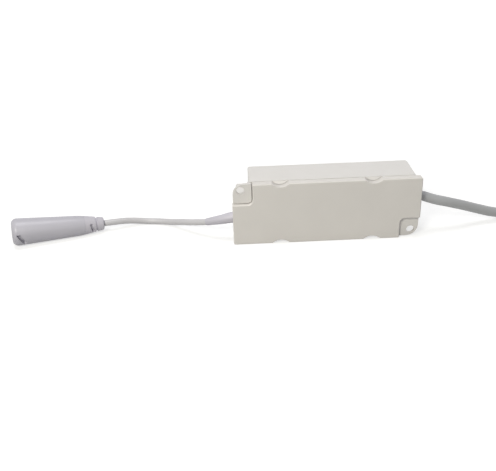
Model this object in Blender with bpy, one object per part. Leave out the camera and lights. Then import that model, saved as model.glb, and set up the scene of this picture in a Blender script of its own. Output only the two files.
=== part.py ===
"""LED driver: a snap-together plastic housing with its power supply and two leads.

The driver stands on its long narrow side. +X runs along its length towards the mains lead,
-Y is the way the cover faces, and +Z is up. The origin is the middle of the housing's base.
All sizes are in metres.
"""

import math

import bmesh
import bpy
from mathutils import Vector

# Housing
COVER_LENGTH = 0.115
CASE_HEIGHT = 0.0395
CASE_DEPTH = 0.033
SKIRT_DEPTH = 0.0052
END_OVERHANG = 0.0027
WALL = 0.0022
COVER_PLATE = 0.002
LIP_THICKNESS = 0.0015
LIP_DEPTH = 0.003
CORNER_RADIUS = 0.0012
FLOOR_FILLET = 0.003
FACE_FILLET = 0.0006
SHARPEST = 0.0003
GAP = 0.0003

# Corner pockets of the cover, notches of the shell and their screw ears
POCKET_WIDTH = 0.0123
POCKET_HEIGHT = 0.013
POCKET_RADIUS = 0.0028
POCKET_GAP = 0.0004
NOTCH_WIDTH = 0.0106
NOTCH_HEIGHT = 0.0113
NOTCH_RADIUS = 0.002
EAR_RECESS = 0.0024
EAR_THICKNESS = 0.0025
EAR_INSET = 0.0004
EAR_RADIUS = 0.007
EAR_HOLE_RADIUS = 0.0025
EAR_HOLE_INSET = (0.0051, 0.0044)
EAR_ROOT_REACH = 0.001
EAR_ROOT_RADIUS = 0.0005

# Pry scoops in the cover's long edges, the shell's tabs in them, and the snap hooks below
SCOOP_PLACE = 0.0282
SCOOP_WIDTH = 0.0105
SCOOP_DEPTH = 0.0022
TAB_HEIGHT = 0.0014
HOOK_WIDTH = 0.008
HOOK_LENGTH = 0.0045
BARB_HEIGHT = 0.0008
BARB_LENGTH = 0.0016

# Lead exits in the end walls
EXIT_DEPTH = 0.0096
MAINS_EXIT_RISE = 0.0042
OUTPUT_EXIT_DROP = 0.0052
FLANGE_THICKNESS = 0.0012
FLANGE_RIM = 0.0013
MAINS_RADIUS = 0.0031
MAINS_NECK_WALL = 0.0012
MAINS_NOSE = 0.0008
OUTPUT_RADIUS = 0.002
OUTPUT_NECK_WALL = 0.0015
BOOT_ROOT_RADIUS = 0.00365
BOOT_TIP_WALL = 0.0003
BOOT_TAPER = 0.85
BOOT_LENGTH = 0.0186

# Circuit board and its posts
BOARD_THICKNESS = 0.0016
BOARD_CLEARANCE = 0.0005
STANDOFF_HEIGHT = 0.0025
STANDOFF_RADIUS = 0.0025
POST_RADIUS = 0.0013
POST_HOLE_CLEARANCE = 0.0003
POST_TIP = 0.0012
CORNER_POST_INSET = (0.0051, 0.0048)
NOTCH_POST_INSET = (0.0067, 0.0033)

# The board's parts are drawn for a board of this length and height with this much room before it
DRAWN_LENGTH = 0.1042
DRAWN_HEIGHT = 0.0336
DRAWN_ROOM = 0.0234

# Wires
MAINS_CORE_RADIUS = 0.00115
MAINS_STRAND_RADIUS = 0.00055
OUTPUT_CORE_RADIUS = 0.0007
MAINS_STUB = 0.0068
OUTPUT_STUB = 0.0045
CORE_LENGTH = 0.028
STRAND_LENGTH = 0.008

# Connector at the far end of the output lead, measured from its mouth
CONNECTOR_LENGTH = 0.057
CONNECTOR_RADIUS = 0.0086
CONNECTOR_WIDEST_AT = 0.0034
CONNECTOR_WAIST_RADIUS = 0.0065
CONNECTOR_WAIST_AT = 0.0408
CONNECTOR_BODY_END = 0.0446
CONNECTOR_BODY_END_RADIUS = 0.006
CONNECTOR_LIP = 0.0030
CONNECTOR_BORE_RADIUS = 0.0054
CONNECTOR_BORE_DEPTH = 0.020
CONNECTOR_CORE_RADIUS = 0.0036
RELIEF_TAIL_RADIUS = 0.0042
RELIEF_SPIGOT = 0.006
INSERT_RECESS = 0.0008
SOCKET_RADIUS = 0.0031
SOCKET_DEPTH = 0.0105
PIN_RADIUS = 0.00105
CONTACT_THICKNESS = 0.0003
LATCH_START = (0.0039, 7)
LATCH_END = (0.0078, -36)
LATCH_WIDTH = 0.0013
LATCH_DEPTH = 0.0017
RELIEF_EDGE = 0.0006
RELIEF_RING_AT = 0.0517
RELIEF_RING_WIDTH = 0.0009
RELIEF_RING_DEPTH = 0.0007
RELIEF_SLOT_START = (0.0491, 30)
RELIEF_SLOT_END = (0.0491, -34)
RELIEF_SLOT_WIDTH = 0.0014
RELIEF_SLOT_DEPTH = 0.0006
CONNECTOR_MOUTH = (-0.1961, -0.0030)
CONNECTOR_HEADING = math.radians(14.8)

# Roundness
ARC_STEPS = 4
EAR_ARC_STEPS = 5
ROUND_SIDES = 24
CONNECTOR_SIDES = 32
CURVE_STEPS = 24

# Levels across the housing's depth, worked out from the sizes above
FACE_Y = -CASE_DEPTH / 2
BACK_Y = CASE_DEPTH / 2
PARTING_Y = FACE_Y + SKIRT_DEPTH
RIM_Y = PARTING_Y + GAP
FLOOR_Y = BACK_Y - WALL
BOARD_BACK_Y = FLOOR_Y - STANDOFF_HEIGHT - GAP
BOARD_FACE_Y = BOARD_BACK_Y - BOARD_THICKNESS
EXIT_Y = FACE_Y + EXIT_DEPTH
SHELL_END = COVER_LENGTH / 2 - END_OVERHANG
WALL_INNER_END = SHELL_END - WALL
BOARD_END = WALL_INNER_END - BOARD_CLEARANCE
BOARD_SIDE = WALL + BOARD_CLEARANCE
BOARD_NOTCH_END = COVER_LENGTH / 2 - NOTCH_WIDTH - BOARD_SIDE
STRETCH_X = 2 * BOARD_END / DRAWN_LENGTH
STRETCH_Z = (CASE_HEIGHT - 2 * BOARD_SIDE) / DRAWN_HEIGHT
PART_SCALE = min(STRETCH_X, STRETCH_Z, (BOARD_FACE_Y - FACE_Y - COVER_PLATE) / DRAWN_ROOM)
MAINS_EXIT_Z = CASE_HEIGHT / 2 + MAINS_EXIT_RISE
OUTPUT_EXIT_Z = CASE_HEIGHT / 2 - OUTPUT_EXIT_DROP
MAINS_NECK = MAINS_RADIUS + MAINS_NECK_WALL
OUTPUT_NECK = OUTPUT_RADIUS + OUTPUT_NECK_WALL
CONNECTOR_TILT = math.atan2(
    CONNECTOR_RADIUS - CONNECTOR_WAIST_RADIUS, CONNECTOR_WAIST_AT - CONNECTOR_WIDEST_AT)


def clear_scene():
    for thing in list(bpy.data.objects):
        bpy.data.objects.remove(thing, do_unlink=True)


def make_material(name, color, roughness, metallic=0.0):
    material = bpy.data.materials.new(name)
    material.use_nodes = True
    shader = material.node_tree.nodes["Principled BSDF"]
    shader.inputs["Base Color"].default_value = (*color, 1.0)
    shader.inputs["Roughness"].default_value = roughness
    shader.inputs["Metallic"].default_value = metallic
    return material


def link(thing, parent=None):
    bpy.context.scene.collection.objects.link(thing)
    thing.parent = parent
    return thing


def add_solid(
        name, form, material, location=(0, 0, 0), rotation=(0, 0, 0), parent=None, smooth=None, scale=1.0):
    """Turns a bmesh into a named object, shaded smooth below the given edge angle."""
    bmesh.ops.recalc_face_normals(form, faces=form.faces)
    mesh = bpy.data.meshes.new(name)
    form.to_mesh(mesh)
    form.free()
    mesh.materials.append(material)
    if smooth is not None:
        mesh.shade_smooth()
        mesh.set_sharp_from_angle(angle=math.radians(smooth))
    thing = bpy.data.objects.new(name, mesh)
    thing.location = location
    thing.rotation_euler = rotation
    thing.scale = (scale, scale, scale)
    return link(thing, parent)


def combine(target, form, operation):
    """Joins the form to the target, or cuts it out, and hides the operand."""
    operand = add_solid(target.name + "_" + operation.lower(), form, target.data.materials[0])
    operand.parent = target.parent
    operand.location = target.location
    operand.rotation_euler = target.rotation_euler
    operand.scale = target.scale
    operand.display_type = "WIRE"
    operand.hide_render = True
    modifier = target.modifiers.new(operation.title(), "BOOLEAN")
    modifier.operation = operation
    modifier.solver = "EXACT"
    modifier.object = operand


def loft(form, rings, closed=False):
    """Skins rings that have equal numbers of points, and caps both ends unless it closes."""
    rows = [[form.verts.new(point) for point in ring] for ring in rings]
    count = len(rows[0])
    spans = list(zip(rows, rows[1:]))
    if closed:
        spans.append((rows[-1], rows[0]))
    for near, far in spans:
        for i in range(count):
            j = (i + 1) % count
            form.faces.new((near[i], near[j], far[j], far[i]))
    if not closed:
        form.faces.new(rows[0])
        form.faces.new(reversed(rows[-1]))
    return form


def half_turn(point):
    """The place a point comes to when the housing is turned half round about its middle."""
    return (-point[0], point[1], CASE_HEIGHT - point[2])


def board_posts():
    """The middles of the four posts: two in the board's corners and two beside its notches."""
    corner = (CORNER_POST_INSET[0] - BOARD_END, BOARD_SIDE + CORNER_POST_INSET[1])
    beside = (NOTCH_POST_INSET[0] - BOARD_NOTCH_END, CASE_HEIGHT - BOARD_SIDE - NOTCH_POST_INSET[1])
    return [corner, beside] + [(-x, CASE_HEIGHT - z) for x, z in (corner, beside)]


def at_depth(outline, y):
    """Stands an (x, z) outline at a level of the housing's depth."""
    return [(x, y, z) for x, z in outline]


def offset_corners(corners, inset):
    """Moves each side of a square-cornered outline inwards."""
    moved = []
    for i, corner in enumerate(corners):
        here = Vector(corner)
        arriving = (here - Vector(corners[i - 1])).normalized()
        leaving = (Vector(corners[(i + 1) % len(corners)]) - here).normalized()
        inwards = Vector((-arriving.y, arriving.x)) + Vector((-leaving.y, leaving.x))
        moved.append(here + inset * inwards)
    return moved


def rounded_outline(corners, radii, inset=0.0, steps=ARC_STEPS):
    """An anticlockwise square-cornered outline, drawn inwards by the inset, with its corners rounded.

    A corner whose radius is None stays sharp.
    """
    moved = offset_corners(corners, inset)
    points = []
    for i, here in enumerate(moved):
        if radii[i] is None:
            points.append(tuple(here))
            continue
        arriving = (here - moved[i - 1]).normalized()
        leaving = (moved[(i + 1) % len(moved)] - here).normalized()
        outer = arriving.cross(leaving) > 0
        radius = max(radii[i] - inset, SHARPEST) if outer else radii[i] + inset
        side = Vector((-arriving.y, arriving.x)) if outer else Vector((arriving.y, -arriving.x))
        centre = here - radius * arriving + radius * side
        for step in range(steps + 1):
            turn = math.pi / 2 * step / steps
            points.append(tuple(centre - radius * side * math.cos(turn) + radius * arriving * math.sin(turn)))
    return points


def notched_corners(half_length, side_x, side_z):
    """A rectangle as tall as the case, with its upper left and lower right corners cut out."""
    left = [
        (-half_length, 0.0),
        (half_length - side_x, 0.0),
        (half_length - side_x, side_z),
        (half_length, side_z),
    ]
    return left + [(-x, CASE_HEIGHT - z) for x, z in left]


def cover_outline(inset=0.0):
    corners = notched_corners(COVER_LENGTH / 2, POCKET_WIDTH, POCKET_HEIGHT)
    radii = (CORNER_RADIUS, FACE_FILLET, POCKET_RADIUS, FACE_FILLET) * 2
    return rounded_outline(corners, radii, inset)


def shell_outline(inset=0.0):
    corners = notched_corners(SHELL_END, NOTCH_WIDTH - END_OVERHANG, NOTCH_HEIGHT)
    radii = (CORNER_RADIUS, CORNER_RADIUS, NOTCH_RADIUS, CORNER_RADIUS) * 2
    return rounded_outline(corners, radii, inset)


def prism(form, outline, near_y, far_y, both_ends=False):
    """Extrudes an (x, z) outline across the depth, and repeats it half a turn round."""
    rings = [at_depth(outline, near_y), at_depth(outline, far_y)]
    loft(form, rings)
    if both_ends:
        loft(form, [[half_turn(point) for point in ring] for ring in rings])
    return form


def circle(radius, sides, centre=(0.0, 0.0)):
    angles = [2 * math.pi * i / sides for i in range(sides)]
    return [(centre[0] + radius * math.cos(a), centre[1] + radius * math.sin(a)) for a in angles]


def scoop_outline(clearance):
    """A shallow arc with a straight top, drawn about the middle of the case's upper edge."""
    half = SCOOP_WIDTH / 2
    radius = (half ** 2 + SCOOP_DEPTH ** 2) / (2 * SCOOP_DEPTH)
    drop = radius - SCOOP_DEPTH
    inner = radius - clearance
    top = -GAP if clearance > 0 else GAP * 2
    reach = math.acos((drop - top) / inner)
    steps = 3 * ARC_STEPS
    turns = [reach - 2 * reach * step / steps for step in range(steps + 1)]
    return [(inner * math.sin(turn), drop - inner * math.cos(turn)) for turn in turns]


def along_long_edges(outline):
    """Repeats an outline, drawn about an edge's middle, at the four pry places."""
    placed = []
    for x in (-SCOOP_PLACE, SCOOP_PLACE):
        placed.append([(x + px, CASE_HEIGHT + pz) for px, pz in outline])
    placed += [[(-px, CASE_HEIGHT - pz) for px, pz in top] for top in placed[:2]]
    return placed


def box(form, low, high):
    """A plain block between two corners."""
    outline = [(low[0], low[2]), (high[0], low[2]), (high[0], high[2]), (low[0], high[2])]
    return loft(form, [at_depth(outline, low[1]), at_depth(outline, high[1])])


def ear_form(form):
    """The screw ears: thin plates in the corner notches, each on an L-shaped root in the walls."""
    outer = EAR_INSET - COVER_LENGTH / 2
    inner = POCKET_WIDTH - POCKET_GAP - COVER_LENGTH / 2
    low = CASE_HEIGHT - POCKET_HEIGHT + POCKET_GAP
    high = CASE_HEIGHT - EAR_INSET
    wall_x = NOTCH_WIDTH + GAP - COVER_LENGTH / 2
    wall_z = CASE_HEIGHT - NOTCH_HEIGHT - GAP
    plate = [(outer, low), (inner, low), (inner, high), (wall_x, high), (outer, high), (outer, wall_z)]
    pocket = POCKET_RADIUS - POCKET_GAP
    plate_radii = (EAR_ROOT_RADIUS, pocket, EAR_ROOT_RADIUS, None, EAR_RADIUS, None)
    root = [
        (GAP - SHELL_END, low + GAP),
        (inner - GAP, low + GAP),
        (inner - GAP, high - GAP),
        (wall_x, high - GAP),
        (wall_x, wall_z),
        (GAP - SHELL_END, wall_z),
    ]
    root_radii = (EAR_ROOT_RADIUS, pocket, EAR_ROOT_RADIUS, None, NOTCH_RADIUS, None)
    front = FACE_Y + EAR_RECESS
    back = front + EAR_THICKNESS
    plate = rounded_outline(plate, plate_radii, steps=EAR_ARC_STEPS)
    root = rounded_outline(root, root_radii, steps=EAR_ARC_STEPS)
    rings = [at_depth(plate, front), at_depth(plate, back), at_depth(root, back)]
    rings.append(at_depth(root, RIM_Y + EAR_ROOT_REACH))
    loft(form, rings)
    return loft(form, [[half_turn(point) for point in ring] for ring in rings])


def exit_slot(form, end_sign, exit_z, neck):
    """A slot through an end wall, round at its foot and open at the rim."""
    width = neck + GAP
    turns = [math.pi * step / (3 * ARC_STEPS) for step in range(3 * ARC_STEPS + 1)]
    outline = [(EXIT_Y + width * math.sin(turn), exit_z + width * math.cos(turn)) for turn in turns]
    above = RIM_Y - SKIRT_DEPTH / 2
    outline += [(above, exit_z - width), (above, exit_z + width)]
    near = end_sign * (SHELL_END + WALL)
    far = end_sign * (WALL_INNER_END - WALL)
    return loft(form, [[(x, y, z) for y, z in outline] for x in (near, far)])


def pry_tab(form, outline):
    """A tab of the rim in a pry scoop: its front leans back from the scoop's floor to the outside."""
    lean = TAB_HEIGHT / SCOOP_DEPTH
    front = [(x, RIM_Y - lean * min(z, CASE_HEIGHT - z), z) for x, z in outline]
    return loft(form, [front, at_depth(outline, RIM_Y + GAP)])


def hook_recess(form, x, upper):
    """A pocket inside a long wall where a hook's barb catches."""
    reach = WALL + GAP - BARB_HEIGHT - 2 * GAP
    outer = CASE_HEIGHT - reach if upper else reach
    inner = CASE_HEIGHT - 2 * WALL if upper else 2 * WALL
    tip = PARTING_Y + LIP_DEPTH + HOOK_LENGTH
    half = HOOK_WIDTH / 2 + GAP
    low = (x - half, tip - BARB_LENGTH - 2 * GAP, min(outer, inner))
    high = (x + half, tip + 2 * GAP, max(outer, inner))
    return box(form, low, high)


def build_shell(material):
    """The housing's base: five walls with two notched corners, open towards the cover."""
    rings = []
    for step in range(ARC_STEPS + 1):
        turn = math.pi / 2 * step / ARC_STEPS
        inset = FLOOR_FILLET * (1 - math.sin(turn))
        rings.append(at_depth(shell_outline(inset), BACK_Y - FLOOR_FILLET * (1 - math.cos(turn))))
    inner_fillet = FLOOR_FILLET - WALL
    rings.append(at_depth(shell_outline(), RIM_Y))
    rings.append(at_depth(shell_outline(WALL), RIM_Y))
    rings.append(at_depth(shell_outline(WALL), FLOOR_Y - inner_fillet))
    rings.append(at_depth(shell_outline(WALL + inner_fillet), FLOOR_Y))
    shell = add_solid("housing_shell", loft(bmesh.new(), rings), material, smooth=40)

    extras = ear_form(bmesh.new())
    for outline in along_long_edges(scoop_outline(GAP)):
        pry_tab(extras, outline)
    for x, z in board_posts():
        shoulder = at_depth(circle(STANDOFF_RADIUS, ROUND_SIDES, (x, z)), FLOOR_Y + WALL / 2)
        step = at_depth(circle(STANDOFF_RADIUS, ROUND_SIDES, (x, z)), FLOOR_Y - STANDOFF_HEIGHT)
        foot = at_depth(circle(POST_RADIUS, ROUND_SIDES, (x, z)), FLOOR_Y - STANDOFF_HEIGHT)
        tip = at_depth(circle(POST_RADIUS, ROUND_SIDES, (x, z)), BOARD_FACE_Y - POST_TIP)
        loft(extras, [shoulder, step, foot, tip])
    combine(shell, extras, "UNION")

    cuts = bmesh.new()
    middle = (EAR_HOLE_INSET[0] - COVER_LENGTH / 2, CASE_HEIGHT - EAR_HOLE_INSET[1])
    hole = circle(EAR_HOLE_RADIUS, ROUND_SIDES, middle)
    prism(cuts, hole, FACE_Y, FACE_Y + EAR_RECESS + 2 * EAR_THICKNESS, both_ends=True)
    exit_slot(cuts, 1, MAINS_EXIT_Z, MAINS_NECK)
    exit_slot(cuts, -1, OUTPUT_EXIT_Z, OUTPUT_NECK)
    for x in (-SCOOP_PLACE, SCOOP_PLACE):
        hook_recess(cuts, x, True)
        hook_recess(cuts, x, False)
    combine(shell, cuts, "DIFFERENCE")
    return shell


def hook(form, x, upper):
    """A snap hook below the cover's lip, drawn as its side profile and extruded along X."""
    face = WALL + GAP
    tip = PARTING_Y + LIP_DEPTH + HOOK_LENGTH
    root = PARTING_Y + LIP_DEPTH / 2
    profile = [
        (root, face + LIP_THICKNESS - GAP / 2),
        (root, face + GAP / 2),
        (tip - BARB_LENGTH, face + GAP / 2),
        (tip - BARB_LENGTH, face - BARB_HEIGHT),
        (tip, face + GAP),
        (tip, face + LIP_THICKNESS - GAP / 2),
    ]
    if upper:
        profile = [(y, CASE_HEIGHT - z) for y, z in profile]
    ends = (x - HOOK_WIDTH / 2, x + HOOK_WIDTH / 2)
    return loft(form, [[(end, y, z) for y, z in profile] for end in ends])


def build_cover(material):
    """The lid: a plate with a solid rim that overhangs the shell's ends, and a lip inside it."""
    plate_y = FACE_Y + COVER_PLATE
    lip_outer = WALL + GAP
    lip_inner = lip_outer + LIP_THICKNESS
    half_fillet = FACE_FILLET * (1 - math.sqrt(0.5))
    rings = [
        at_depth(cover_outline(FACE_FILLET), FACE_Y),
        at_depth(cover_outline(half_fillet), FACE_Y + half_fillet),
        at_depth(cover_outline(), FACE_Y + FACE_FILLET),
        at_depth(cover_outline(), PARTING_Y),
        at_depth(shell_outline(lip_outer), PARTING_Y),
        at_depth(shell_outline(lip_outer), PARTING_Y + LIP_DEPTH),
        at_depth(shell_outline(lip_inner), PARTING_Y + LIP_DEPTH),
        at_depth(shell_outline(lip_inner), plate_y),
    ]
    cover = add_solid("housing_cover", loft(bmesh.new(), rings), material, smooth=40)

    cuts = bmesh.new()
    for outline in along_long_edges(scoop_outline(0.0)):
        prism(cuts, outline, FACE_Y - SKIRT_DEPTH, PARTING_Y + GAP)
    for sign, exit_z, neck in ((1, MAINS_EXIT_Z, MAINS_NECK), (-1, OUTPUT_EXIT_Z, OUTPUT_NECK)):
        half = neck + FLANGE_RIM + 2 * GAP
        near = sign * SHELL_END
        far = sign * (WALL_INNER_END - 2 * LIP_THICKNESS)
        low = (min(near, far), PARTING_Y - GAP / 2, exit_z - half)
        high = (max(near, far), PARTING_Y + 2 * LIP_DEPTH, exit_z + half)
        box(cuts, low, high)
    combine(cover, cuts, "DIFFERENCE")

    hooks = bmesh.new()
    for x in (-SCOOP_PLACE, SCOOP_PLACE):
        hook(hooks, x, True)
        hook(hooks, x, False)
    combine(cover, hooks, "UNION")
    return cover


def tombstone(x, half_width, exit_z):
    """A ring round an exit at x: round towards the floor, square and flat under the cover's rim."""
    headroom = EXIT_Y - RIM_Y
    ring = []
    for i in range(ROUND_SIDES):
        turn = 2 * math.pi * i / ROUND_SIDES
        across = math.cos(turn)
        down = math.sin(turn)
        reach = half_width
        if down < 0:
            reach = min(half_width / max(abs(across), 1e-6), headroom / -down)
        ring.append((x, EXIT_Y + reach * down, exit_z + reach * across))
    return ring


def upright_ring(x, radius, exit_z):
    """A round ring about an exit at x, in step with tombstone."""
    turns = [2 * math.pi * i / ROUND_SIDES for i in range(ROUND_SIDES)]
    return [(x, EXIT_Y + radius * math.sin(t), exit_z + radius * math.cos(t)) for t in turns]


def seat_rings(sign, exit_z, neck):
    """The inner flange, neck and outer flange with which a strain relief grips its wall."""
    flange = neck + FLANGE_RIM
    inner_face = WALL_INNER_END - GAP
    outer_face = SHELL_END + GAP
    return [
        tombstone(sign * (inner_face - FLANGE_THICKNESS), flange, exit_z),
        tombstone(sign * inner_face, flange, exit_z),
        tombstone(sign * inner_face, neck, exit_z),
        tombstone(sign * outer_face, neck, exit_z),
        tombstone(sign * outer_face, flange, exit_z),
        tombstone(sign * (outer_face + FLANGE_THICKNESS), flange, exit_z),
    ]


# The output lead's middle line, from the wall through its boot to the connector's tail
OUTPUT_ROUTE = (
    (-0.0565, -0.0069, 0.01455),
    (-0.0590, -0.0069, 0.0144),
    (-0.0640, -0.0064, 0.0132),
    (-0.0693, -0.0049, 0.0118),
    (-0.0745, -0.0025, 0.0100),
    (-0.0798, 0.0007, 0.0085),
    (-0.0850, 0.0046, 0.0069),
    (-0.0904, 0.0090, 0.0052),
    (-0.0959, 0.0132, 0.0035),
    (-0.1015, 0.0166, 0.0024),
    (-0.1070, 0.0185, 0.00205),
    (-0.1122, 0.0192, 0.00205),
    (-0.1172, 0.0189, 0.0027),
    (-0.1225, 0.0177, 0.0037),
    (-0.1275, 0.0160, 0.0046),
    (-0.1324, 0.0141, 0.0052),
)

# The mains lead from its bushing down to the surface, to where its jacket ends
MAINS_ROUTE = (
    (0.0575, -0.0069, 0.02395),
    (0.0600, -0.0069, 0.0238),
    (0.0643, -0.0069, 0.0222),
    (0.0695, -0.0067, 0.0204),
    (0.0751, -0.0062, 0.0188),
    (0.0807, -0.0051, 0.0169),
    (0.0865, -0.0036, 0.0148),
    (0.0923, -0.0020, 0.0125),
    (0.0979, -0.0006, 0.0103),
    (0.1088, 0.0014, 0.0066),
    (0.1196, 0.0039, 0.0042),
    (0.1308, 0.0075, 0.0032),
    (0.1455, 0.0117, 0.00315),
    (0.1612, 0.0134, 0.00315),
    (0.1770, 0.0116, 0.00315),
    (0.1908, 0.0075, 0.00315),
)


# The stripped cores: share of their length, spread from the lead's middle and height
CORE_SPLAY = (
    (0.0, 0.0014, 0.00315),
    (0.12, 0.0015, 0.0029),
    (0.35, 0.0022, 0.0017),
    (0.60, 0.0040, 0.0012),
    (0.80, 0.0060, 0.0012),
    (1.0, 0.0080, 0.0012),
)


def smooth_curve(points):
    """Reads closely spaced points from a smooth curve through the chosen route points."""
    chosen = [Vector(point) for point in points]
    chosen = [2 * chosen[0] - chosen[1]] + chosen + [2 * chosen[-1] - chosen[-2]]
    fine = [chosen[1]]
    for a, b, c, d in zip(chosen, chosen[1:], chosen[2:], chosen[3:]):
        for step in range(1, CURVE_STEPS + 1):
            t = step / CURVE_STEPS
            at_ends = (2 * t ** 3 - 3 * t ** 2 + 1) * b + (3 * t ** 2 - 2 * t ** 3) * c
            slopes = (t ** 3 - 2 * t ** 2 + t) * (c - a) / 2 + (t ** 3 - t ** 2) * (d - b) / 2
            fine.append(at_ends + slopes)
    return fine


def curve_length(fine):
    return sum((far - near).length for near, far in zip(fine, fine[1:]))


def stretch(fine, start, end, spacing):
    """Evenly spaced points along a curve, between two distances from its first point."""
    reached = [0.0]
    for near, far in zip(fine, fine[1:]):
        reached.append(reached[-1] + (far - near).length)
    count = max(1, round((end - start) / spacing))
    points = []
    index = 0
    for i in range(count + 1):
        goal = start + (end - start) * i / count
        while index < len(reached) - 2 and reached[index + 1] < goal:
            index += 1
        share = (goal - reached[index]) / (reached[index + 1] - reached[index])
        points.append(fine[index].lerp(fine[index + 1], share))
    return points


def cord_points(fine, start, radius):
    """A cord's points from a distance along its curve, closer at its ends to face them squarely."""
    end = curve_length(fine)
    points = stretch(fine, start, end, 5 * radius)
    first = stretch(fine, start, start + radius, radius)[1]
    last = stretch(fine, end - radius, end, radius)[0]
    return [points[0], first, *points[1:-1], last, points[-1]]


def add_cord(name, points, radius, resolution, material, parent=None):
    """A round flexible lead: a curve with a round bevel and filled ends."""
    curve = bpy.data.curves.new(name, "CURVE")
    curve.dimensions = "3D"
    curve.bevel_depth = radius
    curve.bevel_resolution = resolution
    curve.use_fill_caps = True
    spline = curve.splines.new("POLY")
    spline.points.add(len(points) - 1)
    for slot, point in zip(spline.points, points):
        slot.co = (*point, 1.0)
    spline.use_smooth = True
    curve.materials.append(material)
    return link(bpy.data.objects.new(name, curve), parent)


def swept_rings(points, radii, heading):
    """Rings square to a curved middle line, each turned as little as can be from the last."""
    turns = [2 * math.pi * i / ROUND_SIDES for i in range(ROUND_SIDES)]
    spokes = [Vector((0.0, math.sin(turn), math.cos(turn))) for turn in turns]
    rings = []
    for i, (point, radius) in enumerate(zip(points, radii)):
        ahead = points[min(i + 1, len(points) - 1)]
        behind = points[max(i - 1, 0)]
        new_heading = (ahead - behind).normalized()
        swing = heading.rotation_difference(new_heading)
        spokes = [swing @ spoke for spoke in spokes]
        heading = new_heading
        rings.append([tuple(point + radius * spoke) for spoke in spokes])
    return rings


def output_curve():
    return smooth_curve((*OUTPUT_ROUTE, connector_point(CONNECTOR_LENGTH + GAP)))


def build_output_boot(material):
    """The output strain relief: flanges round the wall and a tapered, drooping sleeve."""
    rings = seat_rings(-1, OUTPUT_EXIT_Z, OUTPUT_NECK)
    points = stretch(output_curve(), 0.0, BOOT_LENGTH, OUTPUT_RADIUS)
    tip = OUTPUT_RADIUS + BOOT_TIP_WALL
    shares = [i / (len(points) - 1) for i in range(len(points))]
    radii = [BOOT_ROOT_RADIUS + (tip - BOOT_ROOT_RADIUS) * share ** BOOT_TAPER for share in shares]
    start = -(SHELL_END + GAP + FLANGE_THICKNESS)
    rings.append(upright_ring(start, BOOT_ROOT_RADIUS, OUTPUT_EXIT_Z))
    sleeve = swept_rings(points, radii, Vector((-1.0, 0.0, 0.0)))
    rings += [ring for ring in sleeve if max(point[0] for point in ring) < start - GAP]
    return add_solid("output_boot", loft(bmesh.new(), rings), material, smooth=40)


def build_mains_bushing(material):
    """The mains strain relief: a bushing that stays inside the cover's overhang."""
    rings = seat_rings(1, MAINS_EXIT_Z, MAINS_NECK)
    start = SHELL_END + GAP + FLANGE_THICKNESS
    rings.append(upright_ring(start, MAINS_NECK, MAINS_EXIT_Z))
    rings.append(upright_ring(start + MAINS_NOSE, MAINS_RADIUS + GAP, MAINS_EXIT_Z))
    return add_solid("mains_bushing", loft(bmesh.new(), rings), material, smooth=40)


def turned(form, profile, sides, centre=(0.0, 0.0)):
    """Revolves (height, radius) steps about the local Z axis."""
    rings = []
    for height, radius in profile:
        rings.append([(x, y, height) for x, y in circle(radius, sides, centre)])
    return loft(form, rings)


def turned_tube(form, outer, inner, sides):
    """Revolves an outer and an inner set of (height, radius) steps into one open tube."""
    rings = []
    for height, radius in list(outer) + list(reversed(inner)):
        rings.append([(x, y, height) for x, y in circle(radius, sides)])
    return loft(form, rings, closed=True)


def rectangle(size_x, size_y, radius, centre=(0.0, 0.0)):
    """A round-cornered rectangle about a centre."""
    x, y = size_x / 2, size_y / 2
    corners = [(centre[0] + sx * x, centre[1] + sy * y) for sx, sy in ((-1, -1), (1, -1), (1, 1), (-1, 1))]
    return rounded_outline(corners, (radius,) * 4)


def at_height(outline, height):
    return [(x, y, height) for x, y in outline]


def block(form, size_x, size_y, height, radius=0.0006, centre=(0.0, 0.0), base=0.0):
    """An upright block with round edges and a softened top."""
    inset = radius / 2
    low = rectangle(size_x, size_y, radius, centre)
    high = rectangle(size_x - 2 * inset, size_y - 2 * inset, radius, centre)
    top = base + height
    return loft(form, [at_height(low, base), at_height(low, top - inset), at_height(high, top)])


def board_frame():
    """An empty in the middle of the board's face: Z leaves the board, X and Y lie along it."""
    frame = bpy.data.objects.new("board_frame", None)
    frame.location = (0, BOARD_FACE_Y, CASE_HEIGHT / 2)
    frame.rotation_euler = (math.pi / 2, 0, 0)
    return link(frame)


def add_part(name, form, material, place, frame, rotation=(0, 0, 0), smooth=None):
    """Sets a part on the board, at a place of the drawn layout, in the size that fits the board."""
    x, z, lift = place
    location = (x * STRETCH_X, z * STRETCH_Z, lift * PART_SCALE)
    return add_solid(name, form, material, location, rotation, frame, smooth, PART_SCALE)


def build_board(material):
    corners = notched_corners(BOARD_END, BOARD_END - BOARD_NOTCH_END, NOTCH_HEIGHT + BOARD_SIDE)
    corners = [(x, min(max(z, BOARD_SIDE), CASE_HEIGHT - BOARD_SIDE)) for x, z in corners]
    outline = rounded_outline(corners, (SHARPEST, SHARPEST, NOTCH_RADIUS + BOARD_SIDE, SHARPEST) * 2)
    board = add_solid(
        "circuit_board",
        loft(bmesh.new(), [at_depth(outline, BOARD_BACK_Y), at_depth(outline, BOARD_FACE_Y)]), material)
    holes = bmesh.new()
    for x, z in board_posts():
        hole = circle(POST_RADIUS + POST_HOLE_CLEARANCE, ROUND_SIDES, (x, z))
        prism(holes, hole, BOARD_BACK_Y + WALL, BOARD_FACE_Y - WALL)
    combine(board, holes, "DIFFERENCE")
    return board


def electrolytic(name, x, z, radius, height, frame, material):
    """A can capacitor with its crimped foot and rounded shoulder."""
    crimp = 0.0016
    dent = 0.0005
    profile = [
        (0.0, radius - dent),
        (dent, radius),
        (crimp, radius),
        (crimp + dent, radius - dent),
        (crimp + 2 * dent, radius),
        (height - dent, radius),
        (height, radius - dent),
    ]
    return add_part(name, turned(bmesh.new(), profile, ROUND_SIDES), material, (x, z, GAP), frame, smooth=40)


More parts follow.
